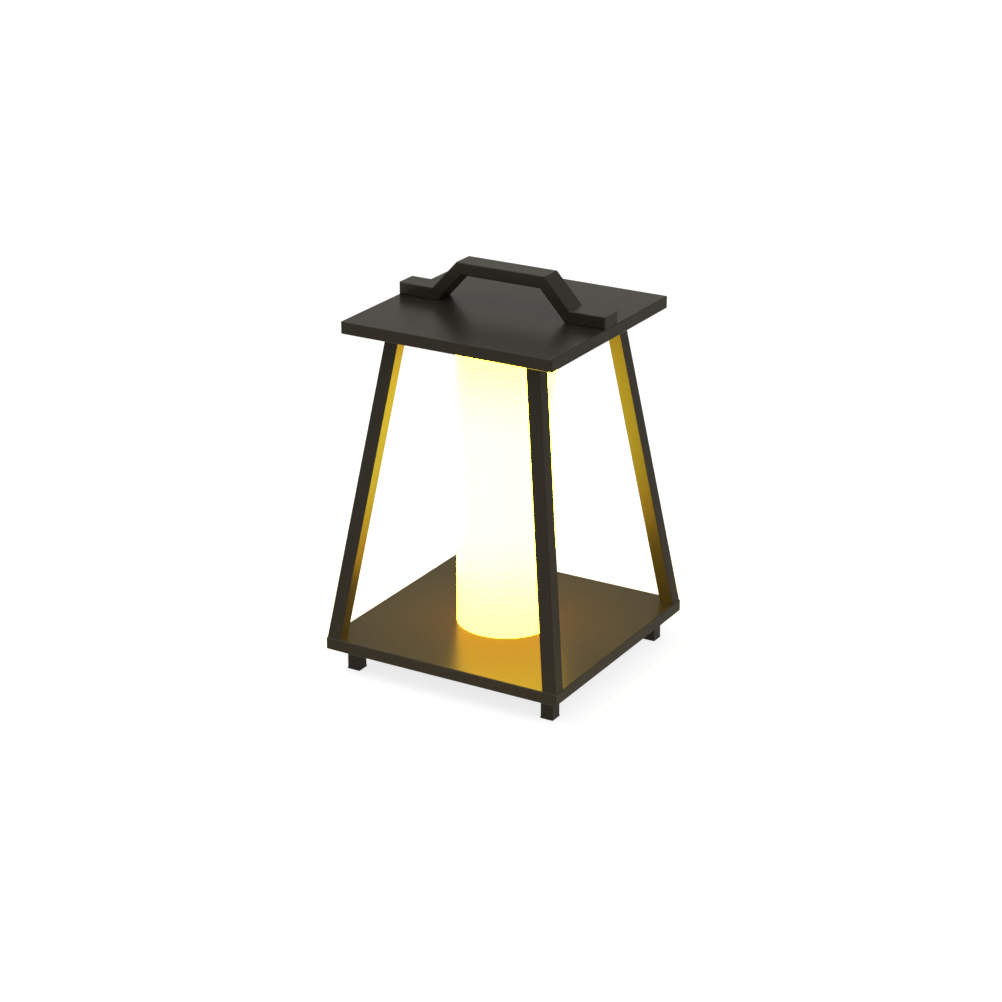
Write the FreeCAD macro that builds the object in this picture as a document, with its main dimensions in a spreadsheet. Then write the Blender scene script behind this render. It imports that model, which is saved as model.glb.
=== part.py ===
import FreeCAD, Part
import os
import re
import Sketcher

# A square lantern table lamp, in millimetres, +Z up, the origin under the middle of the four feet.
# +X is to the right and -Y is the front.  Two hollow plates are held apart by four leaning square
# tubes.  An opal tube stands between the plates around a post that carries the LED boards.  The
# battery and the control board lie in the base, whose rear edge has the button and the socket.

SIZES = [
    # plates
    ("base_width", 210.0),
    ("base_thickness", 10.0),
    ("top_width", 185.0),
    ("top_thickness", 10.0),
    ("column_height", 252.5),           # from the base's top face to the top plate's underside
    ("shell_wall", 2.0),
    ("base_skin", 2.5),
    ("top_skin", 2.0),
    ("cover_thickness", 1.5),
    ("panel_thickness", 2.5),
    ("panel_gap", 0.15),                # around the cover and the panel, inside their walls
    ("edge_chamfer", 0.5),
    # legs
    ("leg_size", 12.0),
    ("leg_wall", 1.5),
    ("leg_chamfer", 0.5),
    ("leg_inset_low", 0.6),             # leg's outer face inside the base's edge
    ("leg_inset_high", 25.2),           # leg's outer face inside the top plate's edge
    ("plug_length", 14.0),
    # feet
    ("foot_size", 11.0),
    ("foot_block_height", 19.0),
    ("foot_pad_thickness", 1.5),
    ("foot_inset_x", 16.0),             # foot's middle inside the base's edge
    ("foot_inset_y", 19.75),
    ("foot_counterbore", 5.5),          # depth of the screw's head in the foot
    # handle
    ("bar_width", 20.0),
    ("bar_thickness", 10.0),
    ("handle_rise", 34.0),              # top of the grip above the top plate
    ("grip_length", 78.6),
    ("handle_slope_run", 22.0),
    ("handle_end_inset", 0.5),
    ("handle_chamfer", 0.6),
    ("handle_screw_margin", 8.5),       # outer screw from the bar's end
    ("handle_screw_pitch", 15.0),
    # light column
    ("tube_diameter", 80.0),
    ("tube_wall", 3.0),
    ("gasket_thickness", 0.8),          # silicone rings under and over the tube
    ("seat_gap", 0.2),                  # from the seats to the tube, and to what sits in them
    ("seat_thickness", 4.0),
    ("seat_floor", 1.5),
    ("post_size", 24.0),
    ("post_wall", 1.6),
    ("post_hub_radius", 3.8),
    ("led_board_width", 12.0),
    ("led_board_thickness", 1.2),
    ("led_board_margin", 12.0),         # bare post above the LED boards
    ("link_board_width", 34.0),
    ("led_chip_width", 2.8),
    ("led_chip_length", 3.5),
    ("led_chip_height", 0.8),
    # battery and board
    ("battery_width", 50.0),
    ("battery_length", 80.0),
    ("battery_thickness", 5.0),
    ("battery_wall_gap", 14.0),         # from the base's left wall
    ("battery_lead_inset", 8.0),        # lead from the battery's right edge
    ("tape_thickness", 0.6),
    ("tape_margin", 5.0),
    ("board_width", 50.0),
    ("board_depth", 27.0),
    ("board_thickness", 1.2),
    ("board_wall_gap", 0.3),            # from the board to the pressed button's flange
    ("standoff_width", 4.8),
    ("standoff_inset", 3.0),
    ("connector_width", 7.0),
    ("connector_depth", 5.0),
    ("connector_height", 3.2),
    ("led_connector_x", 0.0),
    ("battery_connector_x", -15.0),
    # charging socket and flap
    ("port_height", 4.2),               # axis of socket and button above the base's underside
    ("socket_x", 12.0),
    ("socket_width", 8.94),
    ("socket_height", 3.16),
    ("socket_depth", 7.3),
    ("socket_wall", 0.3),
    ("socket_tongue_width", 6.7),
    ("socket_tongue_thickness", 0.7),
    ("socket_hole_gap", 0.2),
    ("flap_thickness", 1.0),
    ("flap_height", 6.0),
    ("flap_reach", 6.5),                # flap's end beyond the socket's axis
    ("flap_hinge_reach", 6.5),          # flap's hinge line before the socket's axis
    ("flap_anchor_length", 3.6),
    ("flap_gap", 0.25),
    ("flap_nail_gap", 1.5),             # room for a fingernail at the flap's free end
    ("flap_plug_length", 1.2),
    ("flap_plug_gap", 0.4),
    ("anchor_stud_width", 1.8),
    # button
    ("button_x", -12.0),
    ("button_width", 10.0),
    ("button_height", 4.0),
    ("button_travel", 0.5),
    ("button_gap", 0.2),
    ("button_flange", 0.5),             # flange beyond the cap, on each side
    ("button_flange_thickness", 0.8),
    ("switch_inset", 0.5),              # switch's face inside the board's rear edge
    ("switch_width", 6.0),
    ("switch_depth", 3.6),
    ("plunger_width", 1.6),
    ("plunger_gap", 0.15),
    # leads, flat with two cores
    ("lead_width", 2.4),
    ("lead_thickness", 1.2),
    ("lead_bend_radius", 3.0),
    ("lead_tail", 2.0),                 # above the link board
    ("grommet_wall", 0.9),
    # screws
    ("m4_radius", 2.0),
    ("m4_head_radius", 3.5),
    ("m4_head_height", 2.4),
    ("m4_length", 12.0),
    ("m4_handle_length", 8.0),
    ("m3_radius", 1.5),
    ("m3_head_radius", 2.75),
    ("m3_head_height", 1.8),
    ("m3_foot_length", 20.0),
    ("m3_countersunk_radius", 3.0),
    ("m3_countersunk_length", 6.0),
    ("m2_radius", 1.0),
    ("m2_head_radius", 1.8),
    ("m2_head_height", 1.2),
    ("m2_length", 3.0),
    ("clearance", 0.25),                # screw to its plain hole
    ("pilot_depth", 0.5),               # of a threaded hole beyond its screw's end
    ("boss_width", 8.6),
    ("boss_inset", 6.0),                # corner boss's centre inside the top plate's edge
]
LED_COUNT = 14

doc = FreeCAD.newDocument("lantern_table_lamp")
sheet = doc.addObject("Spreadsheet::Sheet", "sizes")
for row, (alias, size) in enumerate(SIZES, 1):
    sheet.set(f"A{row}", alias)
    sheet.set(f"B{row}", str(size))
    sheet.setAlias(f"B{row}", alias)
doc.recompute()

nodes = []
cuts = []
SIZE_NAMES = {alias for alias, size in SIZES}

# Formulas for levels and places that several pieces share.
BASE_FLOOR = "(foot_block_height + foot_pad_thickness)"
BASE_TOP = f"({BASE_FLOOR} + base_thickness)"
BASE_CEILING = f"({BASE_TOP} - base_skin)"
TOP_FLOOR = f"({BASE_TOP} + column_height)"
PANEL_TOP = f"({TOP_FLOOR} + panel_thickness)"
TOP_TOP = f"({TOP_FLOOR} + top_thickness)"
TOP_CEILING = f"({TOP_TOP} - top_skin)"
TUBE_RADIUS = "(tube_diameter / 2)"
TUBE_BORE = f"({TUBE_RADIUS} - tube_wall)"
LEG_LOW = "(base_width / 2 - leg_inset_low - leg_size / 2)"
LEG_HIGH = "(top_width / 2 - leg_inset_high - leg_size / 2)"
LEG_BORE = "(leg_size - 2 * leg_wall)"
BASE_INSIDE = "(base_width / 2 - shell_wall)"
TOP_BOSS = "(top_width / 2 - boss_inset)"
FOOT_X = "(base_width / 2 - foot_inset_x)"
FOOT_Y = "(base_width / 2 - foot_inset_y)"
BATTERY_X = f"(battery_width / 2 + battery_wall_gap - {BASE_INSIDE})"
PORT_LEVEL = f"({BASE_FLOOR} + port_height)"
BOARD_FLOOR = f"({PORT_LEVEL} + socket_height / 2)"
BOARD_TOP = f"({BOARD_FLOOR} + board_thickness)"
BOARD_BACK = f"({BASE_INSIDE} - button_flange_thickness - button_travel - board_wall_gap)"
BOARD_MIDDLE = f"({BOARD_BACK} - board_depth / 2)"
BOARD_FRONT = f"({BOARD_BACK} - board_depth)"
SEAT_FLOOR_TOP = f"({BASE_TOP} + seat_floor)"
POST_LENGTH = "(column_height - 2 * seat_floor)"
LINK_TOP = f"({SEAT_FLOOR_TOP} + led_board_thickness)"
LED_BOARD_LENGTH = f"({POST_LENGTH} - led_board_thickness - led_board_margin)"
LEAD_Y = "(post_size / 4 + led_board_thickness / 2 + link_board_width / 4)"
LEAD_LEVEL = f"({BOARD_FLOOR} - connector_height / 2)"
SOCKET_MOUTH = "(base_width / 2 - flap_thickness)"
FLAP_HINGE_X = "(socket_x - flap_hinge_reach)"
SWITCH_FACE = f"({BOARD_BACK} - switch_inset)"
PLUNGER_TIP = f"({BASE_INSIDE} - button_flange_thickness)"
GROMMET_WIDTH = "(lead_width + 2 * grommet_wall)"
GROMMET_DEPTH = "(lead_thickness + 2 * grommet_wall)"


def cells(formula):
    """The formula with each size written as a reference to the sheet."""
    return re.sub(r"[a-z]\w*", lambda word: "sizes." * (word[0] in SIZE_NAMES) + word[0], formula)


def value(formula):
    """The formula's value now."""
    return float(sheet.evalExpression(cells(formula)))


def bind(piece, target, formula):
    piece.setExpression(target, cells(formula))


def place(piece, x="0", y="0", z="0"):
    for axis, formula in zip("xyz", (x, y, z)):
        bind(piece, f"Placement.Base.{axis}", formula)


def name_node(piece, name):
    piece.Label = name
    nodes.append(piece)
    return piece


# ---------------------------------------------------------------- sketches and features


def new_body(name, x="0", y="0", z="0"):
    body = doc.addObject("PartDesign::Body", f"{name}_body")
    place(body, x, y, z)
    return body


def origin_feature(body, role):
    return next(feature for feature in body.Origin.OriginFeatures if feature.Role == role)


def new_sketch(body, plane="XY_Plane", offset="0"):
    """A sketch on a plane of the body's origin, moved along the plane's normal."""
    sketch = body.newObject("Sketcher::SketchObject", f"{body.Name}_sketch")
    sketch.AttachmentSupport = [(origin_feature(body, plane), "")]
    sketch.MapMode = "FlatFace"
    bind(sketch, "AttachmentOffset.Base.z", offset)
    return sketch


def constrain(sketch, kind, references, formula):
    index = sketch.addConstraint(Sketcher.Constraint(kind, *references, value(formula)))
    bind(sketch, f"Constraints[{index}]", formula)


def fix_point(sketch, shape, point, x, y):
    """Hold a point of a shape at x, y from the sketch's origin."""
    constrain(sketch, "DistanceX", (-1, 1, shape, point), x)
    constrain(sketch, "DistanceY", (-1, 1, shape, point), y)


def polygon(sketch, corners):
    """A closed outline of straight lines through corners given as pairs of formulas."""
    points = [FreeCAD.Vector(value(x), value(y), 0) for x, y in corners]
    first = sketch.GeometryCount
    for start, end in zip(points, points[1:] + points[:1]):
        sketch.addGeometry(Part.LineSegment(start, end), False)
    for index, (x, y) in enumerate(corners):
        following = first + (index + 1) % len(corners)
        sketch.addConstraint(Sketcher.Constraint("Coincident", first + index, 2, following, 1))
        fix_point(sketch, first + index, 1, x, y)


def rectangle(sketch, width, height, x="0", y="0"):
    left, right = f"{x} - {width} / 2", f"{x} + {width} / 2"
    low, high = f"{y} - {height} / 2", f"{y} + {height} / 2"
    polygon(sketch, [(left, low), (right, low), (right, high), (left, high)])


def cut_square(sketch, half, flat, x="0", y="0"):
    """A square outline with its corners cut off; half is its half width, flat half of a side."""
    corners = [
        (half, f"-{flat}"), (half, flat), (flat, half), (f"-{flat}", half),
        (f"-{half}", flat), (f"-{half}", f"-{flat}"), (f"-{flat}", f"-{half}"), (flat, f"-{half}")]
    polygon(sketch, [(f"{x} + ({across})", f"{y} + ({along})") for across, along in corners])


def octagon(sketch, radius, x="0", y="0"):
    """A hidden screw or its hole, drawn with eight flats that touch the true circle."""
    cut_square(sketch, f"({radius})", f"(({radius}) * (sqrt(2) - 1))", x, y)


def hexagon(sketch, radius):
    """A hexagon about the origin, its radius measured to the flats."""
    side = f"({radius} / sqrt(3))"
    polygon(sketch, [
        (f"2 * {side}", "0"), (side, radius), (f"-{side}", radius),
        (f"-2 * {side}", "0"), (f"-{side}", f"-{radius}"), (side, f"-{radius}")])


def circle(sketch, radius, x="0", y="0"):
    centre = FreeCAD.Vector(value(x), value(y), 0)
    normal = FreeCAD.Vector(0, 0, 1)
    shape = sketch.addGeometry(Part.Circle(centre, normal, value(radius)), False)
    fix_point(sketch, shape, 3, x, y)
    constrain(sketch, "Radius", (shape,), radius)


def stadium(sketch, width, height, x="0", y="0"):
    """A slot shape: two straight sides and two half-round ends."""
    ends = f"({width} - {height}) / 2"
    left, right = (FreeCAD.Vector(value(f"{x} {sign} {ends}"), value(y), 0) for sign in "-+")
    radius = value(f"{height} / 2")
    up = FreeCAD.Vector(0, radius, 0)
    across = FreeCAD.Vector(radius, 0, 0)
    first = sketch.GeometryCount
    sketch.addGeometry(Part.LineSegment(left - up, right - up), False)
    sketch.addGeometry(Part.Arc(right - up, right + across, right + up), False)
    sketch.addGeometry(Part.LineSegment(right + up, left + up), False)
    sketch.addGeometry(Part.Arc(left + up, left - across, left - up), False)
    for index in range(4):
        following = first + (index + 1) % 4
        sketch.addConstraint(Sketcher.Constraint("Tangent", first + index, 2, following, 1))
    fix_point(sketch, first + 1, 3, f"{x} + {ends}", y)
    fix_point(sketch, first + 3, 3, f"{x} - {ends}", y)
    constrain(sketch, "Radius", (first + 1,), f"{height} / 2")


def add_feature(body, kind, sketch, length, reverse=False):
    feature = body.newObject(f"PartDesign::{kind}", f"{body.Name}_{kind.lower()}")
    feature.Profile = sketch
    bind(feature, "Length", length)
    feature.Reversed = reverse
    return feature


def pad(body, sketch, length, reverse=False, both_ways=False):
    feature = add_feature(body, "Pad", sketch, length, reverse)
    feature.Midplane = both_ways
    return feature


def pocket(body, sketch, length, reverse=False):
    """A cut away from the sketch, against the plane's normal unless reversed."""
    feature = add_feature(body, "Pocket", sketch, length, reverse)
    cuts.append(feature)
    return feature


def around(body, features, count):
    """Repeat features about the body's Z axis."""
    pattern = body.newObject("PartDesign::PolarPattern", f"{body.Name}_pattern")
    pattern.Originals = features
    pattern.Axis = (origin_feature(body, "Z_Axis"), [""])
    pattern.Angle = 360
    pattern.Occurrences = count
    body.Tip = pattern
    return pattern


def chamfer_edges(body, size, chosen):
    """Chamfer the edges of the body's last feature that the test chooses."""
    doc.recompute()
    last = body.Tip
    names = [f"Edge{number}" for number, edge in enumerate(last.Shape.Edges, 1) if chosen(edge)]
    chamfer = body.newObject("PartDesign::Chamfer", f"{body.Name}_chamfer")
    chamfer.Base = (last, names)
    bind(chamfer, "Size", size)
    return chamfer


def is_upright(edge):
    return edge.BoundBox.ZLength > 2 * max(edge.BoundBox.XLength, edge.BoundBox.YLength)


# ---------------------------------------------------------------- screws


def pan_screw(name, radius, length, head_radius, head_height):
    """A hidden screw, drawn with eight flats: its head's seat at z = 0 and its head up."""
    body = new_body(name)
    shank = new_sketch(body)
    octagon(shank, radius)
    pad(body, shank, length, reverse=True)
    head = new_sketch(body)
    octagon(head, head_radius)
    pad(body, head, head_height)
    cut_drive(body, radius, head_height, head_height)
    return body


def countersunk_screw(name, radius, length, head_radius):
    """A round screw whose head's flat top is at z = 0."""
    body = new_body(name)
    profile = new_sketch(body, "XZ_Plane")
    head_height = f"({head_radius} - {radius})"
    polygon(profile, [
        ("0", f"-{length}"), (radius, f"-{length}"), (radius, f"-{head_height}"),
        (head_radius, "0"), ("0", "0")])
    turned = body.newObject("PartDesign::Revolution", f"{body.Name}_turned")
    turned.Profile = profile
    turned.ReferenceAxis = (profile, ["V_Axis"])
    turned.Angle = 360
    cut_drive(body, radius, "0", head_height)
    return body


def cut_drive(body, radius, head_top, head_height):
    """The hexagonal socket in a screw's head."""
    drive = new_sketch(body, offset=head_top)
    hexagon(drive, f"({radius} * 0.75)")
    pocket(body, drive, f"{head_height} * 0.8")


def group(name, piece, places, head_down=False):
    """Copies of one piece at places given as triples of formulas, as one node of separate solids."""
    links = []
    for x, y, z in places:
        link = doc.addObject("App::Link", f"{name}_copy")
        link.LinkedObject = piece
        if head_down:
            link.Placement.Rotation = FreeCAD.Rotation(FreeCAD.Vector(1, 0, 0), 180)
        place(link, x, y, z)
        links.append(link)
    compound = doc.addObject("Part::Compound", name)
    compound.Links = links
    return name_node(compound, name)


def four_corners(x, y, z):
    return [(x, y, z), (f"-{x}", y, z), (f"-{x}", f"-{y}", z), (x, f"-{y}", z)]


# ---------------------------------------------------------------- base


def hollow_plate(name, width, thickness, skin, z):
    """A square plate open below: a block with chamfered edges, hollowed from its underside."""
    body = new_body(name, z=z)
    outer = new_sketch(body)
    rectangle(outer, width, width)
    pad(body, outer, thickness)
    chamfer_edges(body, "edge_chamfer", lambda edge: True)
    inner = new_sketch(body)
    inside = f"({width} - 2 * shell_wall)"
    rectangle(inner, inside, inside)
    pocket(body, inner, f"{thickness} - {skin}", reverse=True)
    return body


def base_shell():
    body = hollow_plate("base_shell", "base_width", "base_thickness", "base_skin", BASE_FLOOR)
    ceiling = "(base_thickness - base_skin)"
    # bosses for the foot screws
    bosses = new_sketch(body, offset="cover_thickness")
    for x, y, z in four_corners(FOOT_X, FOOT_Y, "0"):
        rectangle(bosses, "boss_width", "boss_width", x, y)
        octagon(bosses, "m3_radius", x, y)
    pad(body, bosses, f"{ceiling} - cover_thickness")
    # standoffs for the control board
    board_top = f"({BOARD_TOP} - {BASE_FLOOR})"
    standoffs = new_sketch(body, offset=board_top)
    pilots = new_sketch(body, offset=board_top)
    for x, y in board_holes():
        rectangle(standoffs, "standoff_width", "standoff_width", x, y)
        octagon(pilots, "m2_radius", x, y)
    pad(body, standoffs, f"{ceiling} - {board_top}")
    pocket(body, pilots, "m2_length - board_thickness", reverse=True)
    # holes in the skin for the leg screws, the post screw and the lead
    legs = new_sketch(body, offset="base_thickness")
    octagon(legs, "m4_radius + clearance", LEG_LOW, LEG_LOW)
    around(body, [pocket(body, legs, "base_skin")], 4)
    column = new_sketch(body, offset="base_thickness")
    octagon(column, "m4_radius + clearance")
    rectangle(column, GROMMET_WIDTH, GROMMET_DEPTH, "0", LEAD_Y)
    pocket(body, column, "base_skin")
    # rear wall: holes for the socket, the button and the anchor's stud, and the flap's recess
    holes = new_sketch(body, "XZ_Plane", f"-{BASE_INSIDE} + shell_wall")
    stadium(holes, "(socket_width + 2 * socket_hole_gap)", "(socket_height + 2 * socket_hole_gap)",
            "socket_x", "port_height")
    stadium(holes, "(button_width + 2 * button_gap)", "(button_height + 2 * button_gap)",
            "button_x", "port_height")
    rectangle(holes, "anchor_stud_width", "anchor_stud_width",
              f"({FLAP_HINGE_X} - flap_anchor_length / 2)", "port_height")
    pocket(body, holes, "2 * shell_wall")
    recess = new_sketch(body, "XZ_Plane", f"-{SOCKET_MOUTH}")
    left = f"({FLAP_HINGE_X} - flap_anchor_length - flap_gap)"
    right = "(socket_x + flap_reach + flap_nail_gap)"
    rectangle(recess, f"({right} - {left})", "(flap_height + 2 * flap_gap)",
              f"({right} + {left}) / 2", "port_height")
    pocket(body, recess, "flap_thickness")
    return name_node(body, "base_shell")


def base_cover():
    """The bottom panel of the base, clamped between the feet and the shell's bosses."""
    body = new_body("base_cover", z=BASE_FLOOR)
    plate = new_sketch(body)
    side = "(base_width - 2 * shell_wall - 2 * panel_gap)"
    rectangle(plate, side, side)
    for x, y, z in four_corners(FOOT_X, FOOT_Y, "0"):
        octagon(plate, "m3_radius + clearance", x, y)
    pad(body, plate, "cover_thickness")
    return name_node(body, "base_cover")


# ---------------------------------------------------------------- legs and feet

CORNERS = {
    "front_left": (-1, -1),
    "front_right": (1, -1),
    "back_right": (1, 1),
    "back_left": (-1, 1),
}


def leg(name, side_x, side_y):
    """A square tube that leans in towards the top plate, its ends cut level."""
    body = new_body(name, z=BASE_TOP)
    section = new_sketch(body)
    x, y = f"{side_x} * {LEG_LOW}", f"{side_y} * {LEG_LOW}"
    cut_square(section, "(leg_size / 2)", "(leg_size / 2 - leg_chamfer)", x, y)
    rectangle(section, LEG_BORE, LEG_BORE, x, y)
    set_lean(pad(body, section, "column_height"), side_x, side_y)
    return name_node(body, name)


def set_lean(feature, side_x, side_y):
    """Point a pad along a leg's leaning axis; its length is still measured upwards."""
    feature.UseCustomVector = True
    feature.AlongSketchNormal = True
    bind(feature, "Direction.x", f"{side_x} * ({LEG_HIGH} - {LEG_LOW})")
    bind(feature, "Direction.y", f"{side_y} * ({LEG_HIGH} - {LEG_LOW})")
    bind(feature, "Direction.z", "column_height")


def leg_plug(name, side_x, side_y, level, hole_centre, skin, top):
    """The block pressed into a leg's end, with an upright hole for the leg's screw."""
    body = new_body(name, z=BASE_TOP)
    section = new_sketch(body, offset=level)
    centre = f"({LEG_LOW} + ({LEG_HIGH} - {LEG_LOW}) * {level} / column_height)"
    rectangle(section, LEG_BORE, LEG_BORE, f"{side_x} * {centre}", f"{side_y} * {centre}")
    set_lean(pad(body, section, "plug_length"), side_x, side_y)
    hole = new_sketch(body, offset="column_height" if top else "0")
    octagon(hole, "m4_radius", f"{side_x} * {hole_centre}", f"{side_y} * {hole_centre}")
    pocket(body, hole, f"m4_length - {skin} + pilot_depth", reverse=not top)
    return body


def leg_plugs(name, level, hole_centre, skin, top=False):
    plugs = [leg_plug(f"{name}_{corner}", side_x, side_y, level, hole_centre, skin, top)
             for corner, (side_x, side_y) in CORNERS.items()]
    compound = doc.addObject("Part::Compound", name)
    compound.Links = plugs
    return name_node(compound, name)


def foot(name, side_x, side_y):
    """A square block with the stepped hole of the screw that holds it from below."""
    body = new_body(name, f"{side_x} * {FOOT_X}", f"{side_y} * {FOOT_Y}", "foot_pad_thickness")
    block = new_sketch(body)
    rectangle(block, "foot_size", "foot_size")
    pad(body, block, "foot_block_height")
    chamfer_edges(body, "edge_chamfer", is_upright)
    bore = new_sketch(body)
    octagon(bore, "m3_radius + clearance")
    pocket(body, bore, "foot_block_height", reverse=True)
    counterbore = new_sketch(body)
    octagon(counterbore, "m3_head_radius + clearance")
    pocket(body, counterbore, "foot_counterbore", reverse=True)
    return name_node(body, name)


def foot_pad():
    """A rubber pad that covers the foot's screw."""
    body = new_body("foot_pad")
    plate = new_sketch(body)
    rectangle(plate, "foot_size", "foot_size")
    pad(body, plate, "foot_pad_thickness")
    return body


# ---------------------------------------------------------------- top plate and handle


def top_shell():
    body = hollow_plate("top_shell", "top_width", "top_thickness", "top_skin", TOP_FLOOR)
    bosses = new_sketch(body, offset="panel_thickness")
    rectangle(bosses, "boss_width", "boss_width", TOP_BOSS, TOP_BOSS)
    octagon(bosses, "m3_radius", TOP_BOSS, TOP_BOSS)
    around(body, [pad(body, bosses, "top_thickness - top_skin - panel_thickness")], 4)
    handle_holes = new_sketch(body, offset="top_thickness")
    for x, y, z in handle_screw_places("0"):
        octagon(handle_holes, "m4_radius + clearance", x, y)
    pocket(body, handle_holes, "top_skin")
    return name_node(body, "top_shell")


def top_panel():
    """The square panel that closes the top plate from below and carries the column."""
    body = new_body("top_panel", z=TOP_FLOOR)
    plate = new_sketch(body)
    side = "(top_width - 2 * shell_wall - 2 * panel_gap)"
    rectangle(plate, side, side)
    for x, y, z in four_corners(LEG_HIGH, LEG_HIGH, "0"):
        octagon(plate, "m4_radius + clearance", x, y)
    octagon(plate, "m4_radius + clearance")
    pad(body, plate, "panel_thickness")
    around(body, [countersink(body, TOP_BOSS, TOP_BOSS, "panel_thickness")], 4)
    return name_node(body, "top_panel")


def countersink(body, x, y, depth):
    """A hole through a plate whose underside is z = 0, widened there for a countersunk M3 head."""
    profile = new_sketch(body, "XZ_Plane", f"-{y}")
    bind(profile, "AttachmentOffset.Base.x", x)
    wide, narrow = "m3_countersunk_radius", "m3_radius"
    polygon(profile, [
        ("0", "0"), (wide, "0"), (narrow, f"({wide} - {narrow})"),
        (narrow, f"2 * {depth}"), ("0", f"2 * {depth}")])
    groove = body.newObject("PartDesign::Groove", f"{body.Name}_countersink")
    groove.Profile = profile
    groove.ReferenceAxis = (profile, ["V_Axis"])
    groove.Angle = 360
    cuts.append(groove)
    return groove


def handle_screw_places(z):
    outer = "(top_width / 2 - handle_end_inset - handle_screw_margin)"
    inner = f"({outer} - handle_screw_pitch)"
    return [(f"{side} * {x}", "0", z) for side in (-1, 1) for x in (outer, inner)]


def handle():
    """One flat bar bent four times: flat ends on the plate, two slopes and a level grip."""
    body = new_body("handle", z=TOP_TOP)
    end = "(top_width / 2 - handle_end_inset)"
    grip = "(grip_length / 2)"
    knee = f"({grip} + handle_slope_run)"
    # moving a corner in by the bar's thickness shortens each run by this much
    slope = "atan2(handle_rise - bar_thickness; handle_slope_run)"
    mitre = f"(bar_thickness * tan({slope} / 2))"
    under_grip = f"({grip} - {mitre})"
    under_knee = f"({knee} - {mitre})"
    right = [
        (under_grip, "handle_rise - bar_thickness"), (under_knee, "0"), (end, "0"),
        (end, "bar_thickness"), (knee, "bar_thickness"), (grip, "handle_rise")]
    left = [(f"-{x}", z) for x, z in reversed(right)]
    bar = new_sketch(body, "XZ_Plane")
    polygon(bar, right + left)
    pad(body, bar, "bar_width", both_ways=True)
    chamfer_edges(body, "handle_chamfer", is_bar_edge)
    threads = new_sketch(body)
    for x, y, z in handle_screw_places("0"):
        octagon(threads, "m4_radius", x, y)
    pocket(body, threads, "m4_handle_length - top_skin + pilot_depth", reverse=True)
    return name_node(body, "handle")


def is_bar_edge(edge):
    """Long edges of the bar's two side faces."""
    return edge.BoundBox.YLength < 1e-6


# ---------------------------------------------------------------- light column


def tube(name, length, z="0"):
    """A round tube of the diffuser's section."""
    body = new_body(name, z=z)
    section = new_sketch(body)
    circle(section, TUBE_RADIUS)
    circle(section, TUBE_BORE)
    pad(body, section, length)
    return body


def tube_seat(name, z, upside_down=False):
    """A square plate whose rounded corners centre the tube, with a recess for the post."""
    body = new_body(name, z=z)
    if upside_down:
        body.Placement.Rotation = FreeCAD.Rotation(FreeCAD.Vector(1, 0, 0), 180)
    plate = new_sketch(body)
    width = f"(1.5 * {TUBE_BORE})"
    rectangle(plate, width, width)
    pad(body, plate, "seat_thickness")
    trim = new_sketch(body)
    rectangle(trim, "tube_diameter", "tube_diameter")
    circle(trim, f"({TUBE_BORE} - seat_gap)")
    pocket(body, trim, "seat_thickness", reverse=True)
    recess = new_sketch(body, offset="seat_thickness")
    opening = f"({'post_size' if upside_down else 'link_board_width'} + 2 * seat_gap)"
    rectangle(recess, opening, opening)
    pocket(body, recess, "seat_thickness - seat_floor")
    holes = new_sketch(body)
    octagon(holes, "m4_radius + clearance")
    if not upside_down:
        rectangle(holes, GROMMET_WIDTH, GROMMET_DEPTH, "0", LEAD_Y)
    pocket(body, holes, "seat_floor", reverse=True)
    return name_node(body, name)


def light_post():
    """An aluminium section: a square tube, a cross of webs and a hub with a screw bore."""
    body = new_body("light_post", z=SEAT_FLOOR_TOP)
    outer = new_sketch(body)
    rectangle(outer, "post_size", "post_size")
    pad(body, outer, POST_LENGTH)
    chamber = new_sketch(body)
    low, high = "post_wall / 2", "(post_size / 2 - post_wall)"
    polygon(chamber, [(low, low), (high, low), (high, high), (low, high)])
    around(body, [pocket(body, chamber, POST_LENGTH, reverse=True)], 4)
    hub = new_sketch(body)
    octagon(hub, "post_hub_radius")
    pad(body, hub, POST_LENGTH)
    bore = new_sketch(body)
    octagon(bore, "m4_radius")
    pocket(body, bore, POST_LENGTH, reverse=True)
    return name_node(body, "light_post")


def link_board():
    """A square ring around the foot of the post that feeds the four LED boards."""
    body = new_body("led_link_board", z=SEAT_FLOOR_TOP)
    plate = new_sketch(body)
    rectangle(plate, "link_board_width", "link_board_width")
    rectangle(plate, "post_size", "post_size")
    pad(body, plate, "led_board_thickness")
    lead_hole = new_sketch(body)
    rectangle(lead_hole, "lead_width", "lead_thickness", "0", LEAD_Y)
    pocket(body, lead_hole, "led_board_thickness", reverse=True)
    return name_node(body, "led_link_board")


def box(name, width, depth, height, x, y, z, turn=0):
    """A block centred on x, y when seen from above, turned about the lamp's axis."""
    block = doc.addObject("Part::Box", name)
    for side, formula in zip(("Length", "Width", "Height"), (width, depth, height)):
        bind(block, side, formula)
    corner_x, corner_y = f"({x} - ({width}) / 2)", f"({y} - ({depth}) / 2)"
    turned = {
        0: (corner_x, corner_y),
        90: (f"-{corner_y}", corner_x),
        180: (f"-{corner_x}", f"-{corner_y}"),
        270: (corner_y, f"-{corner_x}"),
    }
    block.Placement.Rotation = FreeCAD.Rotation(FreeCAD.Vector(0, 0, 1), turn)
    place(block, *turned[turn], z)
    return block


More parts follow.
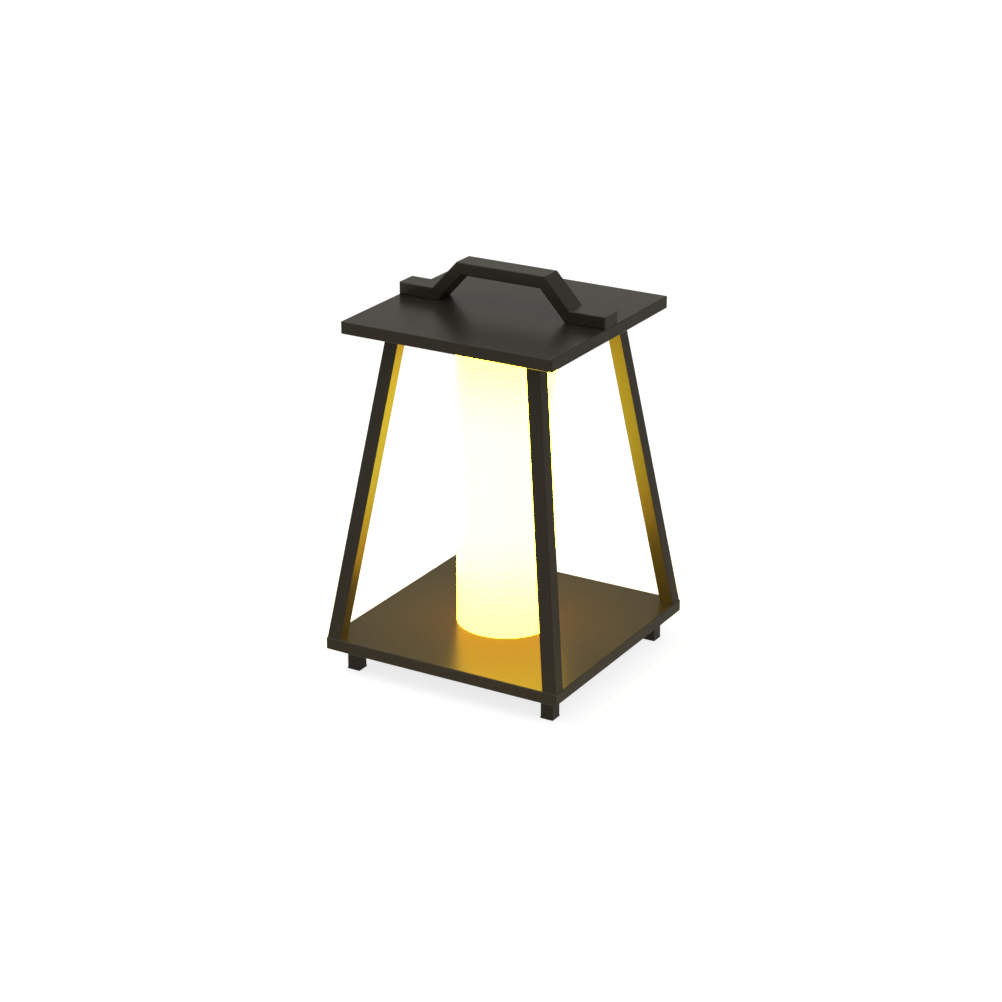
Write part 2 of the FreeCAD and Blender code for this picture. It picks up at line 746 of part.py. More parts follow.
def led_side(side, turn):
    """The LED board on one side of the post, and its row of LEDs.  The front side is turn 0."""
    board_y = "(-post_size / 2 - led_board_thickness / 2)"
    board = box(f"led_board_{side}", "led_board_width", "led_board_thickness", LED_BOARD_LENGTH,
                "0", board_y, LINK_TOP, turn)
    name_node(board, f"led_board_{side}")
    chip_y = "(-post_size / 2 - led_board_thickness - led_chip_height / 2)"
    chips = []
    for index in range(LED_COUNT):
        share = (index + 0.5) / LED_COUNT
        z = f"{LINK_TOP} + {share} * {LED_BOARD_LENGTH} - led_chip_length / 2"
        chips.append(box(f"led_{side}_{index}", "led_chip_width", "led_chip_height", "led_chip_length",
                         "0", chip_y, z, turn))
    row = doc.addObject("Part::Compound", f"leds_{side}")
    row.Links = chips
    name_node(row, f"leds_{side}")


# ---------------------------------------------------------------- battery and control board


def battery():
    cell = box("battery_cell", "battery_width", "battery_length", "battery_thickness",
               BATTERY_X, "0", f"{BASE_CEILING} - tape_thickness - battery_thickness")
    rounded = doc.addObject("Part::Fillet", "battery_pack")
    doc.recompute()
    rounded.Base = cell
    long_edges = [number for number, edge in enumerate(cell.Shape.Edges, 1)
                  if edge.BoundBox.YLength > value("battery_length") / 2]
    radius = value("battery_thickness * 0.3")
    rounded.Edges = [(number, radius, radius) for number in long_edges]
    name_node(rounded, "battery_pack")
    tape = box("battery_tape", "battery_width - 2 * tape_margin", "battery_length - 2 * tape_margin",
               "tape_thickness", BATTERY_X, "0", f"{BASE_CEILING} - tape_thickness")
    name_node(tape, "battery_tape")


def board_holes():
    """The two screws of the board, in opposite corners."""
    x = "(board_width / 2 - standoff_inset)"
    y = "(board_depth / 2 - standoff_inset)"
    return [(f"-{x}", f"({BOARD_MIDDLE} - {y})"), (x, f"({BOARD_MIDDLE} + {y})")]


def control_board():
    body = new_body("control_board", z=BOARD_FLOOR)
    plate = new_sketch(body)
    rectangle(plate, "board_width", "board_depth", "0", BOARD_MIDDLE)
    for x, y in board_holes():
        octagon(plate, "m2_radius", x, y)
    pad(body, plate, "board_thickness")
    return name_node(body, "control_board")


def board_components():
    """The driver chip, the coil and four capacitors, under the board."""
    parts = [("5", "5", "1.1", "8", "0"), ("6", "6", "3", "-6", "0")]
    parts += [("1.6", "3.2", "1.6", f"{x}", "-6") for x in (-12, -4, 5, 11)]
    blocks = [box(f"component_{index}", width, depth, height, x, f"({BOARD_MIDDLE} + {y})",
                  f"{BOARD_FLOOR} - {height}")
              for index, (width, depth, height, x, y) in enumerate(parts)]
    compound = doc.addObject("Part::Compound", "board_components")
    compound.Links = blocks
    name_node(compound, "board_components")


def connector(name, x, entry_width, entry_height):
    """A two-pin connector on the board's front edge, with the hole that its lead enters."""
    body = new_body(name, x, f"{BOARD_FRONT} + connector_depth / 2", f"{BOARD_FLOOR} - connector_height")
    block = new_sketch(body)
    rectangle(block, "connector_width", "connector_depth")
    pad(body, block, "connector_height")
    entry = new_sketch(body, "XZ_Plane", "connector_depth / 2")
    rectangle(entry, entry_width, entry_height, "0", "connector_height / 2")
    pocket(body, entry, "connector_depth / 2")
    return name_node(body, name)


# ---------------------------------------------------------------- socket, flap and button


def charging_socket():
    """A flat-oval metal shell, open to the rear, with the contact tongue inside."""
    body = new_body("charging_socket", "socket_x", SOCKET_MOUTH, PORT_LEVEL)
    shell = new_sketch(body, "XZ_Plane")
    stadium(shell, "socket_width", "socket_height")
    pad(body, shell, "socket_depth")
    mouth = new_sketch(body, "XZ_Plane")
    stadium(mouth, "(socket_width - 2 * socket_wall)", "(socket_height - 2 * socket_wall)")
    pocket(body, mouth, "socket_depth - 1", reverse=True)
    tongue = new_sketch(body, "XZ_Plane", "socket_depth - 1")
    rectangle(tongue, "socket_tongue_width", "socket_tongue_thickness")
    pad(body, tongue, "0.65 * socket_depth", reverse=True)
    return name_node(body, "charging_socket")


def port_flap():
    """A rubber flap flush with the rear wall, with a plug that enters the socket."""
    body = new_body("port_flap", FLAP_HINGE_X, "base_width / 2", PORT_LEVEL)
    plate = new_sketch(body, "XZ_Plane")
    length = "(flap_reach + flap_hinge_reach)"
    rectangle(plate, length, "flap_height", f"{length} / 2", "0")
    pad(body, plate, "flap_thickness")
    plug = new_sketch(body, "XZ_Plane", "flap_thickness")
    inner_width, inner_height = "(socket_width - 2 * socket_wall)", "(socket_height - 2 * socket_wall)"
    stadium(plug, f"({inner_width} - 2 * flap_plug_gap)", f"({inner_height} - 2 * flap_plug_gap)",
            "flap_hinge_reach", "0")
    pad(body, plug, "flap_plug_length")
    return name_node(body, "port_flap")


def flap_anchor():
    """The fixed end of the flap, held by a stud through the rear wall."""
    body = new_body("port_flap_anchor", FLAP_HINGE_X, "base_width / 2", PORT_LEVEL)
    plate = new_sketch(body, "XZ_Plane")
    rectangle(plate, "flap_anchor_length", "flap_height", "-flap_anchor_length / 2", "0")
    pad(body, plate, "flap_thickness")
    stud = new_sketch(body, "XZ_Plane", "flap_thickness")
    rectangle(stud, "anchor_stud_width", "anchor_stud_width", "-flap_anchor_length / 2", "0")
    pad(body, stud, "shell_wall")
    return name_node(body, "port_flap_anchor")


def power_button():
    """A flat-oval cap through the rear wall, with the flange that keeps it in."""
    body = new_body("power_button", "button_x", BASE_INSIDE, PORT_LEVEL)
    cap = new_sketch(body, "XZ_Plane")
    stadium(cap, "button_width", "button_height")
    pad(body, cap, "shell_wall", reverse=True)
    flange = new_sketch(body, "XZ_Plane")
    rectangle(flange, "(button_width + 2 * button_flange)", "(button_height + 2 * button_flange)")
    pad(body, flange, "button_flange_thickness")
    return name_node(body, "power_button")


def power_switch():
    """The switch under the board, with the bore that its plunger runs in."""
    body = new_body("power_switch", "button_x", SWITCH_FACE, PORT_LEVEL)
    block = new_sketch(body, "XZ_Plane")
    rectangle(block, "switch_width", "socket_height")
    pad(body, block, "switch_depth")
    bore = new_sketch(body, "XZ_Plane")
    rectangle(bore, "(plunger_width + 2 * plunger_gap)", "(plunger_width + 2 * plunger_gap)")
    pocket(body, bore, "switch_depth / 2 + 1.5 * button_travel", reverse=True)
    return name_node(body, "power_switch")


def switch_plunger():
    """The switch's pin, which follows the button from half way into the switch."""
    length = f"({PLUNGER_TIP} - {SWITCH_FACE} + switch_depth / 2)"
    plunger = box("switch_plunger", "plunger_width", length, "plunger_width",
                  "button_x", f"({PLUNGER_TIP} - {length} / 2)", f"{PORT_LEVEL} - plunger_width / 2")
    return name_node(plunger, "switch_plunger")


# ---------------------------------------------------------------- leads


def lead(name, route, across):
    """A flat lead along straight runs joined by tangent arcs; its wide side points across."""
    points = [FreeCAD.Vector(*(value(part) for part in point)) for point in route]
    bend = value("lead_bend_radius")
    edges = []
    start = points[0]
    for before, corner, after in zip(points, points[1:], points[2:]):
        incoming, outgoing = (corner - before).normalize(), (after - corner).normalize()
        middle = (outgoing - incoming).normalize()
        reach = bend * ((1 - incoming.dot(outgoing)) / (1 + incoming.dot(outgoing))) ** 0.5
        arc_start, arc_end = corner - incoming * reach, corner + outgoing * reach
        arc_middle = corner + middle * ((bend ** 2 + reach ** 2) ** 0.5 - bend)
        edges += [Part.LineSegment(start, arc_start).toShape(),
                  Part.Arc(arc_start, arc_middle, arc_end).toShape()]
        start = arc_end
    edges.append(Part.LineSegment(start, points[-1]).toShape())
    wide = FreeCAD.Vector(*across) * value("lead_width / 2")
    thin = (points[1] - points[0]).cross(wide).normalize() * value("lead_thickness / 2")
    corners = [points[0] + wide + thin, points[0] - wide + thin,
               points[0] - wide - thin, points[0] + wide - thin]
    section = Part.makePolygon(corners + corners[:1])
    feature = doc.addObject("Part::Feature", name)
    feature.Shape = Part.Wire(edges).makePipeShell([section], True, False)
    return name_node(feature, name)


def grommet():
    """The bush that guides the lead through the skin and the seat's floor."""
    body = new_body("lead_grommet", "0", LEAD_Y, BASE_CEILING)
    section = new_sketch(body)
    rectangle(section, GROMMET_WIDTH, GROMMET_DEPTH)
    rectangle(section, "lead_width", "lead_thickness")
    pad(body, section, "base_skin + seat_floor")
    return name_node(body, "lead_grommet")


# ---------------------------------------------------------------- the lamp

base_shell()
base_cover()
for corner_name, (side_x, side_y) in CORNERS.items():
    leg(f"leg_{corner_name}", side_x, side_y)
    foot(f"foot_{corner_name}", side_x, side_y)
leg_plugs("leg_plugs_bottom", "0", LEG_LOW, "base_skin")
leg_plugs("leg_plugs_top", "(column_height - plug_length)", LEG_HIGH, "panel_thickness", top=True)
group("foot_pads", foot_pad(), four_corners(FOOT_X, FOOT_Y, "0"))
top_shell()
top_panel()
handle()

opal_tube = tube("diffuser_tube", "column_height - 2 * gasket_thickness", f"{BASE_TOP} + gasket_thickness")
name_node(opal_tube, "diffuser_tube")
group("tube_gaskets", tube("tube_gasket", "gasket_thickness"),
      [("0", "0", BASE_TOP), ("0", "0", f"{TOP_FLOOR} - gasket_thickness")])
tube_seat("tube_seat_bottom", BASE_TOP)
tube_seat("tube_seat_top", TOP_FLOOR, upside_down=True)
light_post()
link_board()
for side_name, turn in (("front", 0), ("right", 90), ("back", 180), ("left", 270)):
    led_side(side_name, turn)

battery()
control_board()
board_components()
connector("led_connector", "led_connector_x", "lead_width", "lead_thickness")
connector("battery_connector", "battery_connector_x", "lead_thickness", "lead_width")
charging_socket()
port_flap()
flap_anchor()
power_button()
power_switch()
switch_plunger()
grommet()

entry_y = f"({BOARD_FRONT} + connector_depth / 2)"
lead("led_lead", [
    ("led_connector_x", entry_y, LEAD_LEVEL),
    ("led_connector_x", LEAD_Y, LEAD_LEVEL),
    ("led_connector_x", LEAD_Y, f"{LINK_TOP} + lead_tail")], (1, 0, 0))
battery_end = "(battery_length / 2)"
battery_exit_x = f"({BATTERY_X} + battery_width / 2 - battery_lead_inset)"
crossing_y = f"(({battery_end} + {BOARD_FRONT}) / 2)"
lead("battery_lead", [
    (battery_exit_x, battery_end, LEAD_LEVEL),
    (battery_exit_x, crossing_y, LEAD_LEVEL),
    ("battery_connector_x", crossing_y, LEAD_LEVEL),
    ("battery_connector_x", entry_y, LEAD_LEVEL)], (0, 0, 1))

m4_pan = pan_screw("m4_screw", "m4_radius", "m4_length", "m4_head_radius", "m4_head_height")
m4_short = pan_screw("m4_short_screw", "m4_radius", "m4_handle_length", "m4_head_radius", "m4_head_height")
m3_pan = pan_screw("m3_screw", "m3_radius", "m3_foot_length", "m3_head_radius", "m3_head_height")
m3_flat = countersunk_screw("m3_countersunk_screw", "m3_radius", "m3_countersunk_length",
                            "m3_countersunk_radius")
m2_pan = pan_screw("m2_screw", "m2_radius", "m2_length", "m2_head_radius", "m2_head_height")

group("top_panel_screws", m3_flat, four_corners(TOP_BOSS, TOP_BOSS, TOP_FLOOR), head_down=True)
group("foot_screws", m3_pan,
      four_corners(FOOT_X, FOOT_Y, "foot_pad_thickness + foot_counterbore"), head_down=True)
group("leg_screws_bottom", m4_pan, four_corners(LEG_LOW, LEG_LOW, BASE_CEILING), head_down=True)
group("leg_screws_top", m4_pan, four_corners(LEG_HIGH, LEG_HIGH, PANEL_TOP))
group("handle_screws", m4_short, handle_screw_places(TOP_CEILING), head_down=True)
group("post_screw_bottom", m4_pan, [("0", "0", BASE_CEILING)], head_down=True)
group("post_screw_top", m4_pan, [("0", "0", PANEL_TOP)])
group("board_screws", m2_pan, [(x, y, BOARD_FLOOR) for x, y in board_holes()], head_down=True)

doc.recompute()

# ---------------------------------------------------------------- checks and export

for item in doc.Objects:
    if "Invalid" in item.State or "Error" in item.State:
        raise SystemExit(f"{item.Name} failed: {item.State}")
for cut in cuts:
    if cut.Shape.Volume > cut.BaseFeature.Shape.Volume - 1e-3:
        raise SystemExit(f"{cut.Name} cuts nothing")
os.makedirs("parts", exist_ok=True)
for node in nodes:
    if node.Shape.isNull() or not node.Shape.isValid() or not node.Shape.Solids:
        raise SystemExit(f"{node.Label} has no valid solid")
for node in nodes:
    node.Shape.exportStep(f"parts/{node.Label}.step")
print(len(nodes), "nodes")
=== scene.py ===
"""Lantern table lamp: finishes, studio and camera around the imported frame.

Lengths are in metres, in the frame's own axes.
"""
import math

import bmesh
import bpy
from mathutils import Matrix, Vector


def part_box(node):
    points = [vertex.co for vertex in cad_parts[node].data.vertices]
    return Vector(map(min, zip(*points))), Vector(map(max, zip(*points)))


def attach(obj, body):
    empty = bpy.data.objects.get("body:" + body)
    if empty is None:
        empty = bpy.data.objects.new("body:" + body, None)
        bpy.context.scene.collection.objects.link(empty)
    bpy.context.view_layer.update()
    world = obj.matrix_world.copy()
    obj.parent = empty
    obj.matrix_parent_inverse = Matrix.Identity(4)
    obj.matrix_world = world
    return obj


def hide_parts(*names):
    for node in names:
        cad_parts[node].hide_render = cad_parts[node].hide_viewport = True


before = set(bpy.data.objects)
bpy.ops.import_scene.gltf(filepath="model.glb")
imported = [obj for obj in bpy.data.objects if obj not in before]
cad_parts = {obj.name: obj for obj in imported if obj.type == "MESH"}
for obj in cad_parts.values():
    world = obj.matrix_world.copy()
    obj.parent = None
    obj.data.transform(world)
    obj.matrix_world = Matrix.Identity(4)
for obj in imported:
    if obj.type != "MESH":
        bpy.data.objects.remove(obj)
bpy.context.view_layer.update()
MM = 0.001


# ---------------------------------------------------------------- finishes: helpers

# A noise lies mostly between these values, so what it runs is spread over them.
NOISE_LOW = 0.35
NOISE_HIGH = 0.65


def colour(code):
    """An sRGB hex colour as the linear numbers that a shader takes."""
    shares = [int(code[i:i + 2], 16) / 255 for i in (1, 3, 5)]
    return [s / 12.92 if s <= 0.04045 else ((s + 0.055) / 1.055) ** 2.4 for s in shares] + [1.0]


def find(sockets, name):
    """The socket of that identifier or, failing that, of that name."""
    return next((s for s in sockets if s.identifier == name), None) or sockets[name]


def add(material, kind, inputs=(), **settings):
    """Adds one node. Its inputs are values, or (node, output) pairs to link from."""
    node = material.node_tree.nodes.new("ShaderNode" + kind)
    for name, value in settings.items():
        setattr(node, name, value)
    for name, value in dict(inputs).items():
        if isinstance(value, tuple) and isinstance(value[0], bpy.types.Node):
            material.node_tree.links.new(find(value[0].outputs, value[1]), find(node.inputs, name))
        else:
            find(node.inputs, name).default_value = value
    return node


def feed(material, shader, socket, node, output):
    """Links a node's output to one input of the shader."""
    material.node_tree.links.new(find(node.outputs, output), find(shader.inputs, socket))


def finish(name, inputs):
    """A new material with one Principled shader that has those inputs."""
    material = bpy.data.materials.new(name)
    material.use_nodes = True
    material.node_tree.nodes.clear()
    shader = add(material, "BsdfPrincipled", inputs)
    add(material, "OutputMaterial", {"Surface": (shader, "BSDF")})
    return material, shader


def grain(material, size, detail=2, stretch=(1, 1, 1)):
    """Noise in the piece's own coordinates whose patches are about that many millimetres across."""
    place = add(material, "TexCoord")
    scaled = add(material, "Mapping", {"Vector": (place, "Object"), "Scale": stretch})
    return add(material, "TexNoise", {
        "Vector": (scaled, "Vector"), "Scale": 1 / (size * MM), "Detail": detail})


def mottle(material, shader, noise, socket, low, high):
    """Lets a noise run one input of the shader from low to high: two colours or two numbers."""
    share = add(material, "MapRange", {
        "Value": (noise, "Fac"), "From Min": NOISE_LOW, "From Max": NOISE_HIGH})
    if isinstance(low, str):
        mixed = add(material, "Mix", {
            "Factor_Float": (share, "Result"), "A_Color": colour(low), "B_Color": colour(high)},
            data_type="RGBA")
        feed(material, shader, socket, mixed, "Result_Color")
    else:
        find(share.inputs, "To Min").default_value = low
        find(share.inputs, "To Max").default_value = high
        feed(material, shader, socket, share, "Result")


def relief(material, shader, pattern, depth, output="Fac"):
    """Bump from a pattern, that many millimetres deep."""
    bump = add(material, "Bump", {"Height": (pattern, output), "Distance": depth * MM, "Strength": 1.0})
    feed(material, shader, "Normal", bump, "Normal")


# ---------------------------------------------------------------- finishes

# The light and tints below are linear red, green and blue. The tube's are those that the photograph
# needs at its middle and at its ends.
FLAKE_TINT = (0.52, 0.5, 0.46, 1)
TUBE_MIDDLE_LIGHT = (1.0, 0.78, 0.027, 1)
TUBE_END_LIGHT = (0.68, 0.34, 0.0136, 1)
TUBE_STRENGTH = 22.5
BRIGHTEST_ABOVE_MIDDLE = 3 * MM
EVEN_SHARE = 0.27       # share of the tube's half length, from its brightest level, that is evenly lit
# Strength of the painted glow on the silicone rings, which stands in for the tube's light shining through
# them.
RING_PAINTED_GLOW_STRENGTH = TUBE_STRENGTH * 0.8
LED_LIGHT = (1.0, 0.73, 0.2, 1)
LED_STRENGTH = 8.0
TRACK_SPACING = 4 * MM
FOAM_CELL = 0.4 * MM
FOAM_CELL_EDGE = 0.7    # distance from a cell's middle, as a share of its size, where its edge is


def bronze_powder_coat():
    """Metallic polyester powder, baked on steel: flakes in a dark binder give a soft metal gloss that
    grows only a little at a slant, and the melted powder keeps a faint orange peel."""
    material, shader = finish("bronze_powder_coat", {
        "Metallic": 0.35, "IOR": 1.5, "Specular IOR Level": 0.06, "Specular Tint": FLAKE_TINT})
    # Flakes are 0.05 mm and don't show, so their clouding is drawn at 0.7 mm.
    mottle(material, shader, grain(material, 0.7, detail=1), "Base Color", "#35312a", "#38342d")
    # A roughness range that crosses 0.27 renders grainy, so this one lies above it.
    mottle(material, shader, grain(material, 12, detail=3), "Roughness", 0.28, 0.3)
    # Orange peel has waves of 2 to 3 mm.
    relief(material, shader, grain(material, 2.5, detail=1), 0.002)
    return material


def opal_tube_glow():
    """Extruded opal acrylic: white pigment spreads the LEDs' warm light evenly, so the lit tube has no
    shading of its own, and it is a little dimmer towards its ends, where the LED rows stop."""
    material, shader = finish("opal_acrylic", {
        "Base Color": colour("#e6e3da"), "Roughness": 0.3, "IOR": 1.49, "Emission Strength": TUBE_STRENGTH})
    place = add(material, "TexCoord")
    split = add(material, "SeparateXYZ", {"Vector": (place, "Object")})
    low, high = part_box("diffuser_tube")
    brightest = (low.z + high.z) / 2 + BRIGHTEST_ABOVE_MIDDLE
    half = (high.z - low.z) / 2
    offset = add(material, "Math", {0: (split, "Z"), 1: brightest}, operation="SUBTRACT")
    distance = add(material, "Math", {0: (offset, "Value")}, operation="ABSOLUTE")
    share = add(material, "MapRange", {
        "Value": (distance, "Value"), "From Min": half * EVEN_SHARE, "From Max": half},
        interpolation_type="SMOOTHSTEP")
    light = add(material, "Mix", {
        "Factor_Float": (share, "Result"), "A_Color": TUBE_MIDDLE_LIGHT, "B_Color": TUBE_END_LIGHT},
        data_type="RGBA")
    feed(material, shader, "Emission Color", light, "Result_Color")
    return material


def silicone(name, low, high, inputs):
    """Silicone rubber, moulded or cut from sheet: soft gloss, a little dust clouding."""
    material, shader = finish(name, {"IOR": 1.41, **inputs})
    mottle(material, shader, grain(material, 4, detail=4), "Base Color", low, high)
    mottle(material, shader, grain(material, 1.5), "Roughness", 0.48, 0.6)
    relief(material, shader, grain(material, 0.5), 0.01)
    return material


def moulded_plastic(name, low, high, rough, inputs=()):
    """Injection-moulded plastic: an even colour, with the fine spark-eroded texture of its mould."""
    material, shader = finish(name, {"IOR": 1.46, **dict(inputs)})
    mottle(material, shader, grain(material, 6, detail=3), "Base Color", low, high)
    mottle(material, shader, grain(material, 3), "Roughness", rough, rough + 0.08)
    relief(material, shader, grain(material, 0.6), 0.01)
    return material


def plated_steel(name, low, high, rough):
    """Zinc-plated or blackened steel screws: turned, then dipped, so a clouded metal gloss."""
    material, shader = finish(name, {"Metallic": 1.0})
    mottle(material, shader, grain(material, 1.2, detail=3), "Base Color", low, high)
    mottle(material, shader, grain(material, 0.8), "Roughness", rough, rough + 0.12)
    relief(material, shader, grain(material, 0.4), 0.004)
    return material


def rubber():
    """Black EPDM rubber, cut from sheet: matt, slightly grey with dust."""
    material, shader = finish("epdm_rubber", {"IOR": 1.52, "Specular IOR Level": 0.35})
    mottle(material, shader, grain(material, 3, detail=4), "Base Color", "#161514", "#24211f")
    mottle(material, shader, grain(material, 2), "Roughness", 0.68, 0.8)
    relief(material, shader, grain(material, 0.3), 0.02)
    return material


def mill_aluminium():
    """Extruded 6063 aluminium, left as the die made it: fine lines along the length."""
    material, shader = finish("mill_aluminium", {"Metallic": 1.0})
    lines = grain(material, 0.25, stretch=(1, 1, 0.01))
    mottle(material, shader, lines, "Base Color", "#b9b9ba", "#cfcfce")
    mottle(material, shader, lines, "Roughness", 0.34, 0.46)
    relief(material, shader, lines, 0.005)
    return material


def solder_mask(name, low, high, rough):
    """Solder mask printed on a glass-fibre board: semi-gloss, its copper tracks in faint relief."""
    material, shader = finish(name, {"IOR": 1.52})
    place = add(material, "TexCoord")
    tracks = add(material, "TexBrick", {
        "Vector": (place, "Object"), "Scale": 1 / TRACK_SPACING, "Mortar Size": 0.04,
        "Color1": colour(low), "Color2": colour(low), "Mortar": colour(high)})
    feed(material, shader, "Base Color", tracks, "Color")
    mottle(material, shader, grain(material, 5), "Roughness", rough, rough + 0.1)
    relief(material, shader, tracks, 0.03)
    return material


def led_phosphor():
    """Yellow phosphor in silicone over blue LED chips: glossy domes, lit."""
    material, shader = finish("led_phosphor", {
        "IOR": 1.41, "Roughness": 0.2, "Emission Color": LED_LIGHT, "Emission Strength": LED_STRENGTH})
    mottle(material, shader, grain(material, 0.4), "Base Color", "#f2c445", "#ffdf7a")
    return material


def pouch_cell():
    """Aluminium laminate, pressed round the cell: satin silver with shallow creases."""
    material, shader = finish("pouch_laminate", {"Metallic": 0.9})
    mottle(material, shader, grain(material, 18, detail=3), "Base Color", "#a9abad", "#bfc0c1")
    mottle(material, shader, grain(material, 5, detail=3), "Roughness", 0.3, 0.42)
    relief(material, shader, grain(material, 9, detail=3), 0.15)
    return material


def foam_tape():
    """Grey polyethylene foam tape: matt, with open cells of about 0.4 mm, their hollows painted darker as
    shade.
    """
    material, shader = finish("foam_tape", {"IOR": 1.5, "Specular IOR Level": 0.2, "Roughness": 0.9})
    place = add(material, "TexCoord")
    cells = add(material, "TexVoronoi", {"Vector": (place, "Object"), "Scale": 1 / FOAM_CELL})
    share = add(material, "MapRange", {"Value": (cells, "Distance"), "From Max": FOAM_CELL_EDGE})
    # Painted shade: each cell's hollow middle is darker than its rim.
    painted_cell_shade = add(material, "Mix", {
        "Factor_Float": (share, "Result"), "A_Color": colour("#3c3b39"), "B_Color": colour("#5a5956")},
        data_type="RGBA")
    feed(material, shader, "Base Color", painted_cell_shade, "Result_Color")
    relief(material, shader, cells, 0.1, output="Distance")
    return material


def drawn_shell():
    """Stainless strip, deep drawn into the socket's shell: satin, with drawing lines along its depth."""
    material, shader = finish("drawn_stainless", {"Metallic": 1.0})
    lines = grain(material, 0.15, stretch=(1, 0.05, 1))
    mottle(material, shader, lines, "Base Color", "#a8a7a4", "#c2c1be")
    mottle(material, shader, lines, "Roughness", 0.28, 0.36)
    relief(material, shader, lines, 0.003)
    return material


def lead_insulation():
    """Flat PVC ribbon, extruded: dull red and fairly glossy, with a faint unevenness."""
    material, shader = finish("pvc_ribbon", {"IOR": 1.53})
    mottle(material, shader, grain(material, 3), "Base Color", "#8f1f18", "#a32a21")
    mottle(material, shader, grain(material, 2), "Roughness", 0.33, 0.42)
    relief(material, shader, grain(material, 0.5, detail=1), 0.01)
    return material


# Each of the record's material slots, and its finish.
FINISHES = {
    "bronze_paint": bronze_powder_coat(),
    "zinc_plated_steel": plated_steel("zinc_plated_steel", "#a9abac", "#c4c5c3", 0.28),
    "black_oxide_steel": plated_steel("black_oxide_steel", "#1b1a1a", "#2b2a29", 0.42),
    "rubber": rubber(),
    "opal_acrylic": opal_tube_glow(),
    # The rings are milky and thin. Their emission is a painted glow that stands in for the lit tube's light
    # shining through them.
    "clear_silicone": silicone("translucent_silicone_painted_glow", "#cfcdc4", "#dddbd2", {
        "Transmission Weight": 0.2, "Emission Color": TUBE_END_LIGHT, "Emission Strength": RING_PAINTED_GLOW_STRENGTH}),
    "white_plastic": moulded_plastic("white_abs", "#dfdedb", "#e9e8e5", 0.4),
    "mill_aluminium": mill_aluminium(),
    "white_circuit_board": solder_mask("white_solder_mask", "#dcdcd8", "#e8e8e4", 0.35),
    "led_phosphor": led_phosphor(),
    "pouch_cell": pouch_cell(),
    "foam_tape": foam_tape(),
    "green_circuit_board": solder_mask("green_solder_mask", "#114a2c", "#1c6a3e", 0.3),
    "component_epoxy": moulded_plastic("epoxy_moulding", "#1a1a1b", "#262627", 0.55),
    "nylon_connector": moulded_plastic("natural_nylon", "#d9d5c8", "#e6e2d6", 0.42, {
        "Subsurface Weight": 0.1, "Subsurface Scale": 1 * MM}),
    "socket_shell": drawn_shell(),
    "silicone_flap": silicone("dark_silicone", "#1f1d1b", "#2a2725", {"Specular IOR Level": 0.4}),
    "button_plastic": moulded_plastic("black_abs", "#1d1b1a", "#262422", 0.45),
    "acetal": moulded_plastic("natural_acetal", "#dedcd0", "#e8e6da", 0.35),
    "lead_insulation": lead_insulation(),
}


def dress_frame():
    """Gives every node of the frame the finish of its slot in the record."""
    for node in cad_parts.values():
        for material_slot in node.material_slots:
            material_slot.material = FINISHES[material_slot.material.name.split(".")[0]]


# ---------------------------------------------------------------- pieces

TUBE_WALL = 3 * MM
TUBE_EASE = 0.3 * MM        # rounding of the tube's sawn ends
RING_THICKNESS = 0.8 * MM
RING_EASE = 0.2 * MM
EASE_SEGMENTS = 3
ROUND_STEPS = 160
MERGE_DISTANCE = 1e-7
SHARP_ANGLE = math.radians(40)


def add_object(name, mesh):
    """Makes a finished bmesh an object of the scene."""
    data = bpy.data.meshes.new(name)
    mesh.to_mesh(data)
    mesh.free()
    made = bpy.data.objects.new(name, data)
    bpy.context.scene.collection.objects.link(made)
    return made


def add_piece(name, mesh, slot, stands_for):
    """Makes a finished bmesh a piece of the lamp, with its finish, in place of a node of the frame."""
    piece = add_object(name, mesh)
    piece.data.materials.append(FINISHES[slot])
    piece.data.shade_smooth()
    piece.data.set_sharp_from_angle(angle=SHARP_ANGLE)
    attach(piece, "lamp")
    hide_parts(stands_for)


def spun_ring(low, high, outer, ease):
    """A ring about the lamp's axis, as thick as the tube's wall, with its edges eased: tube or gasket."""
    inner = outer - TUBE_WALL
    mesh = bmesh.new()
    corners = [(inner, low), (outer, low), (outer, high), (inner, high)]
    points = [mesh.verts.new((radius, 0, level)) for radius, level in corners]
    mesh.faces.new(points)
    bmesh.ops.bevel(mesh, geom=points, affect="VERTICES", offset=ease, segments=EASE_SEGMENTS,
                    profile=0.5, material=-1)
    outline = list(mesh.edges)
    bmesh.ops.delete(mesh, geom=list(mesh.faces), context="FACES_ONLY")
    bmesh.ops.spin(mesh, geom=outline, cent=(0, 0, 0), axis=(0, 0, 1), angle=2 * math.pi,
                   steps=ROUND_STEPS, use_merge=True)
    bmesh.ops.remove_doubles(mesh, verts=mesh.verts, dist=MERGE_DISTANCE)
    bmesh.ops.recalc_face_normals(mesh, faces=mesh.faces)
    return mesh


def opal_tube():
    """The diffuser: an extruded tube, its sawn ends eased."""
    low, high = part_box("diffuser_tube")
    add_piece("opal_tube", spun_ring(low.z, high.z, high.x, TUBE_EASE), "opal_acrylic", "diffuser_tube")


def silicone_rings():
    """The two rings that the tube is clamped between."""
    low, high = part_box("tube_gaskets")
    for name, level in (("gasket_bottom", low.z), ("gasket_top", high.z - RING_THICKNESS)):
        ring = spun_ring(level, level + RING_THICKNESS, high.x, RING_EASE)
        add_piece(name, ring, "clear_silicone", "tube_gaskets")


# ---------------------------------------------------------------- studio

WHITE = (1, 1, 1, 1)
FLOOR_GREY = (0.5, 0.5, 0.5, 1)
SURROUND_SEEN = 1.0         # the surround as it looks, which is white
SURROUND_LIGHT = 0.5        # and as it lights the lamp
FLOOR_SEEN = 0.78           # with the studio's light on it, this floor looks white
FLOOR_LIGHT = 0.0
FLOOR_REACH = 12            # from the middle of the floor to each of its sides
SOFT_BOX_SIZE = 1.4
SOFT_BOX_AIM = (0, 0, 0.15)
KEY_PLACE, KEY_POWER = (-1.4, -1.2, 2.0), 16
FILL_PLACE, FILL_POWER = (1.8, -0.6, 1.4), 6
